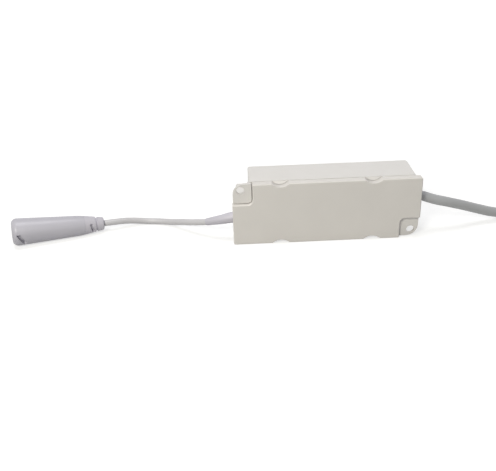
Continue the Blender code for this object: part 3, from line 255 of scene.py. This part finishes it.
def smooth_curve(points):
    """Reads closely spaced points from a smooth curve through the chosen route points."""
    chosen = [Vector(point) for point in points]
    chosen = [2 * chosen[0] - chosen[1]] + chosen + [2 * chosen[-1] - chosen[-2]]
    fine = [chosen[1]]
    for a, b, c, d in zip(chosen, chosen[1:], chosen[2:], chosen[3:]):
        for step in range(1, CURVE_STEPS + 1):
            t = step / CURVE_STEPS
            at_ends = (2 * t ** 3 - 3 * t ** 2 + 1) * b + (3 * t ** 2 - 2 * t ** 3) * c
            slopes = (t ** 3 - 2 * t ** 2 + t) * (c - a) / 2 + (t ** 3 - t ** 2) * (d - b) / 2
            fine.append(at_ends + slopes)
    return fine


def curve_length(points):
    return sum((far - near).length for near, far in zip(points, points[1:]))


def stretch(fine, start, end, spacing):
    """Evenly spaced points along a curve, between two distances from its first point."""
    reached = [0.0]
    for near, far in zip(fine, fine[1:]):
        reached.append(reached[-1] + (far - near).length)
    count = max(1, round((end - start) / spacing))
    points = []
    index = 0
    for i in range(count + 1):
        goal = start + (end - start) * i / count
        while index < len(reached) - 2 and reached[index + 1] < goal:
            index += 1
        share = (goal - reached[index]) / (reached[index + 1] - reached[index])
        points.append(fine[index].lerp(fine[index + 1], share))
    return points


def add_wire(name, points, radius, material, resolution=6):
    """A round wire or lead: a curve with a round bevel and closed ends."""
    curve = bpy.data.curves.new(name, "CURVE")
    curve.dimensions = "3D"
    curve.bevel_depth = radius
    curve.bevel_resolution = resolution
    curve.use_fill_caps = True
    spline = curve.splines.new("POLY")
    spline.points.add(len(points) - 1)
    for place, point in zip(spline.points, points):
        place.co = (*point, 1.0)
    spline.use_smooth = True
    curve.materials.append(material)
    wire = bpy.data.objects.new(name, curve)
    bpy.context.scene.collection.objects.link(wire)
    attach(wire, "root")
    return wire


class Recipe:
    """A material's node tree, with short ways to add and join its nodes."""

    def __init__(self, name, color, roughness, metallic=0.0):
        self.material = bpy.data.materials.new(name)
        self.material.use_nodes = True
        self.nodes = self.material.node_tree.nodes
        self.links = self.material.node_tree.links
        self.shader = self.nodes["Principled BSDF"]
        self.shader.inputs["Base Color"].default_value = color
        self.shader.inputs["Roughness"].default_value = roughness
        self.shader.inputs["Metallic"].default_value = metallic
        self.place = self.nodes.new("ShaderNodeTexCoord").outputs["Object"]

    def noise(self, scale, detail=3.0, roughness=0.5, stretch_by=None):
        node = self.nodes.new("ShaderNodeTexNoise")
        node.inputs["Scale"].default_value = scale
        node.inputs["Detail"].default_value = detail
        node.inputs["Roughness"].default_value = roughness
        source = self.place
        if stretch_by is not None:
            mapping = self.nodes.new("ShaderNodeMapping")
            mapping.inputs["Scale"].default_value = stretch_by
            self.links.new(source, mapping.inputs["Vector"])
            source = mapping.outputs["Vector"]
        self.links.new(source, node.inputs["Vector"])
        return node.outputs["Fac"]

    def between(self, value, low, high):
        """Turns a value around the middle of 0 to 1 into a range."""
        node = self.nodes.new("ShaderNodeMapRange")
        node.inputs["From Min"].default_value = 0.3
        node.inputs["From Max"].default_value = 0.7
        node.inputs["To Min"].default_value = low
        node.inputs["To Max"].default_value = high
        self.links.new(value, node.inputs["Value"])
        return node.outputs["Result"]

    def mottle(self, value, dark, light):
        """Colours the surface between two tints by a value."""
        ramp = self.nodes.new("ShaderNodeValToRGB")
        ramp.color_ramp.elements[0].position = 0.3
        ramp.color_ramp.elements[1].position = 0.7
        ramp.color_ramp.elements[0].color = dark
        ramp.color_ramp.elements[1].color = light
        self.links.new(value, ramp.inputs["Fac"])
        self.links.new(ramp.outputs["Color"], self.shader.inputs["Base Color"])

    def vary_roughness(self, value, low, high):
        self.links.new(self.between(value, low, high), self.shader.inputs["Roughness"])

    def bump(self, value, distance, strength=1.0):
        node = self.nodes.new("ShaderNodeBump")
        node.inputs["Distance"].default_value = distance
        node.inputs["Strength"].default_value = strength
        self.links.new(value, node.inputs["Height"])
        self.links.new(node.outputs["Normal"], self.shader.inputs["Normal"])


def tinted(color, factor):
    return tuple(channel * factor for channel in color[:3]) + (1.0,)


def moulded(name, color, roughness=0.45, grain=2600, relief=0.00002, spread=0.02):
    """Moulded plastic: a fine even grain, with soft clouds in its tint and gloss."""
    recipe = Recipe(name, color, roughness)
    clouds = recipe.noise(45, 4)
    recipe.mottle(clouds, tinted(color, 1 - spread), tinted(color, 1 + spread))
    recipe.vary_roughness(recipe.noise(160, 3), roughness - 0.05, roughness + 0.05)
    recipe.bump(recipe.noise(grain, 2), relief, 0.5)
    return recipe.material


def metal(name, color, roughness=0.3):
    """Bare metal: fine drawn lines and a cloudy gloss."""
    recipe = Recipe(name, color, roughness, 1.0)
    recipe.mottle(recipe.noise(300, 4), tinted(color, 0.92), color)
    recipe.vary_roughness(recipe.noise(900, 3), roughness - 0.08, roughness + 0.1)
    recipe.bump(recipe.noise(4000, 2, stretch_by=(0.1, 1.0, 1.0)), 0.00001, 0.4)
    return recipe.material


def make_looks():
    return {
        "shell": moulded("shell_plastic", srgb(225, 222, 220)),
        "cover": moulded("cover_plastic", srgb(224, 220, 217)),
        "mains": moulded("mains_jacket", srgb(178, 179, 182), 0.38, 1800, 0.00001),
        "output": moulded("output_jacket", srgb(204, 202, 206), 0.38, 1800, 0.00001),
        "relief": moulded("relief_rubber", srgb(198, 195, 205), 0.45),
        "connector": moulded("connector_plastic", srgb(188, 186, 196), 0.4),
        "insert": moulded("insert_plastic", srgb(40, 40, 42)),
        "live": moulded("live_insulation", srgb(96, 58, 40), 0.35),
        "neutral": moulded("neutral_insulation", srgb(34, 84, 160), 0.35),
        "positive": moulded("positive_insulation", srgb(170, 30, 28), 0.35),
        "negative": moulded("negative_insulation", srgb(28, 28, 28), 0.35),
        "nylon": moulded("nylon", srgb(225, 225, 215), 0.4),
        "board": moulded("board_laminate", srgb(38, 108, 62), 0.4),
        "ferrite": moulded("ferrite", srgb(58, 58, 60), 0.6),
        "tape": moulded("winding_tape", srgb(220, 190, 70), 0.35),
        "yellow": moulded("capacitor_case", srgb(224, 200, 80), 0.4),
        "blue": moulded("blue_coating", srgb(50, 96, 170), 0.3),
        "brown": moulded("brown_coating", srgb(130, 64, 40), 0.3),
        "black": moulded("black_epoxy", srgb(36, 36, 38), 0.5),
        "sleeve": moulded("capacitor_sleeve", srgb(46, 54, 72), 0.3),
        "glass": moulded("fuse_glass", srgb(220, 226, 226), 0.1),
        "tin": metal("tinned_wire", srgb(214, 212, 206), 0.3),
        "contact": metal("contact_metal", srgb(214, 212, 206), 0.25),
        "copper": metal("copper_wire", srgb(214, 140, 96), 0.3),
        "aluminium": metal("heatsink_metal", srgb(208, 210, 212), 0.4),
    }


# The finish of each node that is shown as it is
FINISHES = {
    "shell": ("housing_shell",),
    "cover": ("housing_cover",),
    "relief": ("output_boot", "mains_bushing", "connector_relief"),
    "connector": ("connector_body",),
    "insert": ("connector_insert",),
    "contact": ("connector_contact", "connector_pin"),
    "nylon": ("cable_tie",),
    "board": ("circuit_board",),
    "glass": ("fuse",),
    "blue": ("varistor", "safety_capacitor"),
    "yellow": ("x_capacitor",),
    "ferrite": ("choke_core", "transformer_core", "output_choke_core"),
    "copper": ("choke_winding_upper", "choke_winding_lower", "output_choke_winding"),
    "black": (
        "bridge_rectifier", "controller_chip", "transformer_bobbin", "switching_transistor", "optocoupler",
        "output_diode",
    ),
    "sleeve": ("bulk_capacitor", "output_capacitor_inner", "output_capacitor_outer"),
    "brown": ("film_capacitor",),
    "tape": ("transformer_winding",),
    "aluminium": ("heatsink",),
    "mains": ("mains_jacket_end",),
    "output": ("output_jacket_end",),
    "live": ("live_inner_wire",),
    "neutral": ("neutral_inner_wire",),
    "positive": ("positive_inner_wire",),
    "negative": ("negative_inner_wire",),
}


def finish_nodes(nodes, looks):
    for look, names in FINISHES.items():
        for name in names:
            mesh = nodes[name].data
            mesh.materials.clear()
            mesh.materials.append(looks[look])


def round_edges(thing, width):
    """Merges the flat faces, so that nothing is in the way, and rounds the edges between the rest."""
    flat = thing.modifiers.new("Flat", "DECIMATE")
    flat.decimate_type = "DISSOLVE"
    flat.angle_limit = FLAT_ANGLE
    bevel = thing.modifiers.new("Bevel", "BEVEL")
    bevel.width = width
    bevel.segments = EDGE_SEGMENTS
    bevel.use_clamp_overlap = False
    bevel.limit_method = "ANGLE"
    bevel.angle_limit = SHARP_ANGLE
    thing.modifiers.new("Normals", "WEIGHTED_NORMAL")


def split_edges(thing):
    """Keeps sharp edges sharp on a piece that is shaded smooth."""
    split = thing.modifiers.new("Split", "EDGE_SPLIT")
    split.split_angle = SHARP_ANGLE


def soften_nodes(nodes):
    """Shades round faces as round, and rounds the edges of the cover and the board."""
    for name, node in nodes.items():
        node.data.attributes.remove(node.data.attributes["custom_normal"])
        node.data.shade_smooth()
        weld = node.modifiers.new("Weld", "WELD")
        weld.merge_threshold = SAME_POINT
        if name in EDGES:
            round_edges(node, EDGES[name])
        else:
            split_edges(node)


def ring(distance, radius):
    """A circle about the connector's axis, which is Z here."""
    turns = [2 * math.pi * i / CONNECTOR_SIDES for i in range(CONNECTOR_SIDES)]
    return [(radius * math.cos(turn), radius * math.sin(turn), distance) for turn in turns]


def side_grooves(start, end, width, floor):
    """Two curved slots on opposite sides of the connector."""
    form = bmesh.new()
    outside = 2 * CONNECTOR_RADIUS
    for facing in (0.0, math.pi):
        rings = []
        for step in range(GROOVE_STEPS + 1):
            share = step / GROOVE_STEPS
            distance = start[0] + (end[0] - start[0]) * share
            turn = facing + math.radians(start[1] + (end[1] - start[1]) * share)
            corners = ((floor, -width / 2), (outside, -width / 2), (outside, width / 2), (floor, width / 2))
            rings.append([(-r * math.sin(turn), -r * math.cos(turn), distance + w) for r, w in corners])
        loft(form, rings)
    return form


def round_corner(at, radius, across, along):
    """Points of a rounded rim that grows from its face at one end of a turned piece."""
    turns = [math.pi / 2 * step / RIM_STEPS for step in range(RIM_STEPS + 1)]
    return [(at + along * (1 - math.cos(turn)), radius - across * (1 - math.sin(turn))) for turn in turns]


def add_turned(name, profile, grooves, look, node):
    """A round piece on the connector's axis, from (distance, radius) pairs, with its side grooves cut."""
    rings = [ring(distance, radius) for distance, radius in profile]
    piece = add_form(name, loft(bmesh.new(), rings, closed=True), look)
    carve(piece, add_form("grooves", side_grooves(*grooves), look))
    turned = Euler((0, math.pi / 2 + CONNECTOR_TILT, CONNECTOR_HEADING)).to_matrix().to_4x4()
    piece.data.transform(Matrix.Translation(connector_point(0.0)) @ turned)
    piece.data.shade_smooth()
    split_edges(piece)
    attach(piece, "root")
    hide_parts(node)
    return piece


def add_connector(looks):
    """The connector's body and relief, turned finer than their solids, with nearly no gap between them."""
    back = CONNECTOR_BODY_END + GAP * 0.9
    body = round_corner(0.0, CONNECTOR_RADIUS, CONNECTOR_LIP, CONNECTOR_WIDEST_AT) + [
        (CONNECTOR_WAIST_AT, CONNECTOR_WAIST_RADIUS),
        (back, CONNECTOR_BODY_END_RADIUS),
        (back, CONNECTOR_CORE_RADIUS),
        (CONNECTOR_BORE_DEPTH, CONNECTOR_CORE_RADIUS),
        (CONNECTOR_BORE_DEPTH, CONNECTOR_BORE_RADIUS),
        (0.0, CONNECTOR_RADIUS - CONNECTOR_LIP - GAP),
    ]
    seat = CONNECTOR_BODY_END + GAP
    tail = CONNECTOR_LENGTH - RELIEF_EDGE
    slope = (CONNECTOR_BODY_END_RADIUS - RELIEF_TAIL_RADIUS) / (tail - seat)
    ring_start = CONNECTOR_BODY_END_RADIUS - slope * (RELIEF_RING_AT - seat)
    ring_end = ring_start - slope * RELIEF_RING_WIDTH
    spigot = CONNECTOR_CORE_RADIUS - GAP
    relief = [
        (seat, CONNECTOR_BODY_END_RADIUS),
        (RELIEF_RING_AT, ring_start),
        (RELIEF_RING_AT, ring_start - RELIEF_RING_DEPTH),
        (RELIEF_RING_AT + RELIEF_RING_WIDTH, ring_end - RELIEF_RING_DEPTH),
        (RELIEF_RING_AT + RELIEF_RING_WIDTH, ring_end),
        *reversed(round_corner(CONNECTOR_LENGTH, RELIEF_TAIL_RADIUS, RELIEF_EDGE, -RELIEF_EDGE)),
        (CONNECTOR_LENGTH, GAP),
        (CONNECTOR_BODY_END - RELIEF_SPIGOT, GAP),
        (CONNECTOR_BODY_END - RELIEF_SPIGOT, spigot),
        (seat, spigot),
    ]
    return [
        add_turned("connector_sleeve", body, LATCH_GROOVE, looks["connector"], "connector_body"),
        add_turned("connector_boot", relief, RELIEF_GROOVE, looks["relief"], "connector_relief"),
    ]


def add_leads(looks):
    """The mains lead with its stripped cores, and the output lead with its connector."""
    fine = smooth_curve(MAINS_ROUTE)
    points = stretch(fine, 0.0, curve_length(fine), MAINS_SPACING)
    lead = add_wire("mains_cord", points, MAINS_RADIUS, looks["mains"])
    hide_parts("mains_lead")
    end = points[-1]
    heading = (points[-1] - points[-2]).normalized()
    across = Vector((-heading.y, heading.x, 0.0))
    ends = []
    for side, label in ((1, "live"), (-1, "neutral")):
        route = []
        for share, spread, height in CORE_SPLAY:
            place = end + (GAP + share * CORE_LENGTH) * heading + side * spread * across
            route.append(place + Vector((0.0, 0.0, height - end.z)))
        fine = smooth_curve(route)
        core_points = stretch(fine, 0.0, curve_length(fine), CORE_SPACING)
        core = add_wire(label + "_core_wire", core_points, CORE_RADIUS, looks[label], 4)
        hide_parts(label + "_core")
        aim = (core_points[-1] - core_points[-2]).normalized()
        tip = core_points[-1] + GAP * aim
        strand_points = [tip, tip + STRAND_LENGTH * aim]
        strand = add_wire(label + "_strand_wire", strand_points, STRAND_RADIUS, looks["tin"], 4)
        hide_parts(label + "_strand")
        ends += [core, strand]

    fine = smooth_curve((*OUTPUT_ROUTE, connector_point(CONNECTOR_LENGTH + GAP)))
    points = stretch(fine, BOOT_LENGTH + GAP, curve_length(fine), OUTPUT_SPACING)
    lead = add_wire("output_cord", points, OUTPUT_RADIUS, looks["output"])
    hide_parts("output_lead")
    pieces = [*add_connector(looks), "connector_insert", "connector_contact", "connector_pin"]


def is_seen(nodes, links):
    """1 for rays that show a surface straight, mirrored or through glass, and 0 for the others."""
    path = nodes.new("ShaderNodeLightPath")
    total = path.outputs["Is Camera Ray"]
    for name in ("Is Glossy Ray", "Is Transmission Ray"):
        join = nodes.new("ShaderNodeMath")
        join.operation = "MAXIMUM"
        links.new(total, join.inputs[0])
        links.new(path.outputs[name], join.inputs[1])
        total = join.outputs[0]
    return total


def add_floor():
    """A pale floor that shows white, more so away from the lamps, and keeps the object's shadow."""
    mesh = bpy.data.meshes.new("floor")
    corners = [(FLOOR_REACH * x, FLOOR_REACH * y, 0) for x, y in ((-1, -1), (1, -1), (1, 1), (-1, 1))]
    mesh.from_pydata(corners, [], [(0, 1, 2, 3)])
    material = bpy.data.materials.new("floor_paper")
    material.use_nodes = True
    nodes, links = material.node_tree.nodes, material.node_tree.links
    shader = nodes["Principled BSDF"]
    shader.inputs["Base Color"].default_value = (FLOOR_ALBEDO, FLOOR_ALBEDO, FLOOR_ALBEDO, 1.0)
    shader.inputs["Roughness"].default_value = 0.9
    shader.inputs["Specular IOR Level"].default_value = 0.1
    shader.inputs["Emission Color"].default_value = (1.0, 1.0, 1.0, 1.0)
    away = nodes.new("ShaderNodeVectorMath")
    away.operation = "LENGTH"
    links.new(nodes.new("ShaderNodeTexCoord").outputs["Object"], away.inputs[0])
    rise = nodes.new("ShaderNodeMapRange")
    rise.inputs["From Min"].default_value = FLOOR_NEAR
    rise.inputs["From Max"].default_value = FLOOR_FAR
    rise.inputs["To Min"].default_value = FLOOR_GLOW_NEAR
    rise.inputs["To Max"].default_value = FLOOR_GLOW_FAR
    links.new(away.outputs["Value"], rise.inputs["Value"])
    lift = nodes.new("ShaderNodeMath")
    lift.operation = "MULTIPLY"
    links.new(is_seen(nodes, links), lift.inputs[0])
    links.new(rise.outputs["Result"], lift.inputs[1])
    links.new(lift.outputs[0], shader.inputs["Emission Strength"])
    mesh.materials.append(material)
    floor = bpy.data.objects.new("floor", mesh)
    bpy.context.scene.collection.objects.link(floor)


def add_world():
    """Even pale light from all round, which shows as white."""
    world = bpy.data.worlds.new("studio")
    world.use_nodes = True
    nodes, links = world.node_tree.nodes, world.node_tree.links
    light = nodes["Background"]
    light.inputs["Color"].default_value = (1.0, 1.0, 1.0, 1.0)
    light.inputs["Strength"].default_value = WORLD_STRENGTH
    shown = nodes.new("ShaderNodeBackground")
    shown.inputs["Color"].default_value = (1.0, 1.0, 1.0, 1.0)
    shown.inputs["Strength"].default_value = 1.0
    mix = nodes.new("ShaderNodeMixShader")
    links.new(is_seen(nodes, links), mix.inputs["Fac"])
    links.new(light.outputs["Background"], mix.inputs[1])
    links.new(shown.outputs["Background"], mix.inputs[2])
    links.new(mix.outputs["Shader"], nodes["World Output"].inputs["Surface"])
    bpy.context.scene.world = world


def add_lamp(name, place, aim, size, power, color):
    data = bpy.data.lights.new(name, "AREA")
    data.shape = "DISK"
    data.size = size
    data.energy = power
    data.color = color
    lamp = bpy.data.objects.new(name, data)
    lamp.location = place
    lamp.rotation_euler = (Vector(aim) - Vector(place)).to_track_quat("-Z", "Y").to_euler()
    bpy.context.scene.collection.objects.link(lamp)
    return lamp


def add_light():
    """A lamp overhead, one in front, and one behind that the mirror side of the top doesn't show."""
    add_world()
    add_lamp("overhead_lamp", (-0.15, 0.05, 1.2), (0.0, 0.0, 0.0), 0.6, 5.5, (0.985, 0.99, 1.0))
    add_lamp("front_lamp", (-0.32, -0.56, 0.48), (0.0, 0.0, 0.02), 0.25, 3.2, (1.0, 0.985, 0.88))
    back = add_lamp("back_lamp", (0.4, 0.9, 0.2), (0.0, 0.0, 0.02), 0.7, 3.5, (1.0, 0.99, 0.97))
    back.visible_glossy = False


def main():
    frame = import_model()
    add_camera()
    looks = make_looks()
    add_leads(looks)
    finish_nodes(frame["nodes"], looks)
    soften_nodes(frame["nodes"])
    add_floor()
    add_light()
    bpy.context.scene.view_settings.view_transform = "Standard"


main()
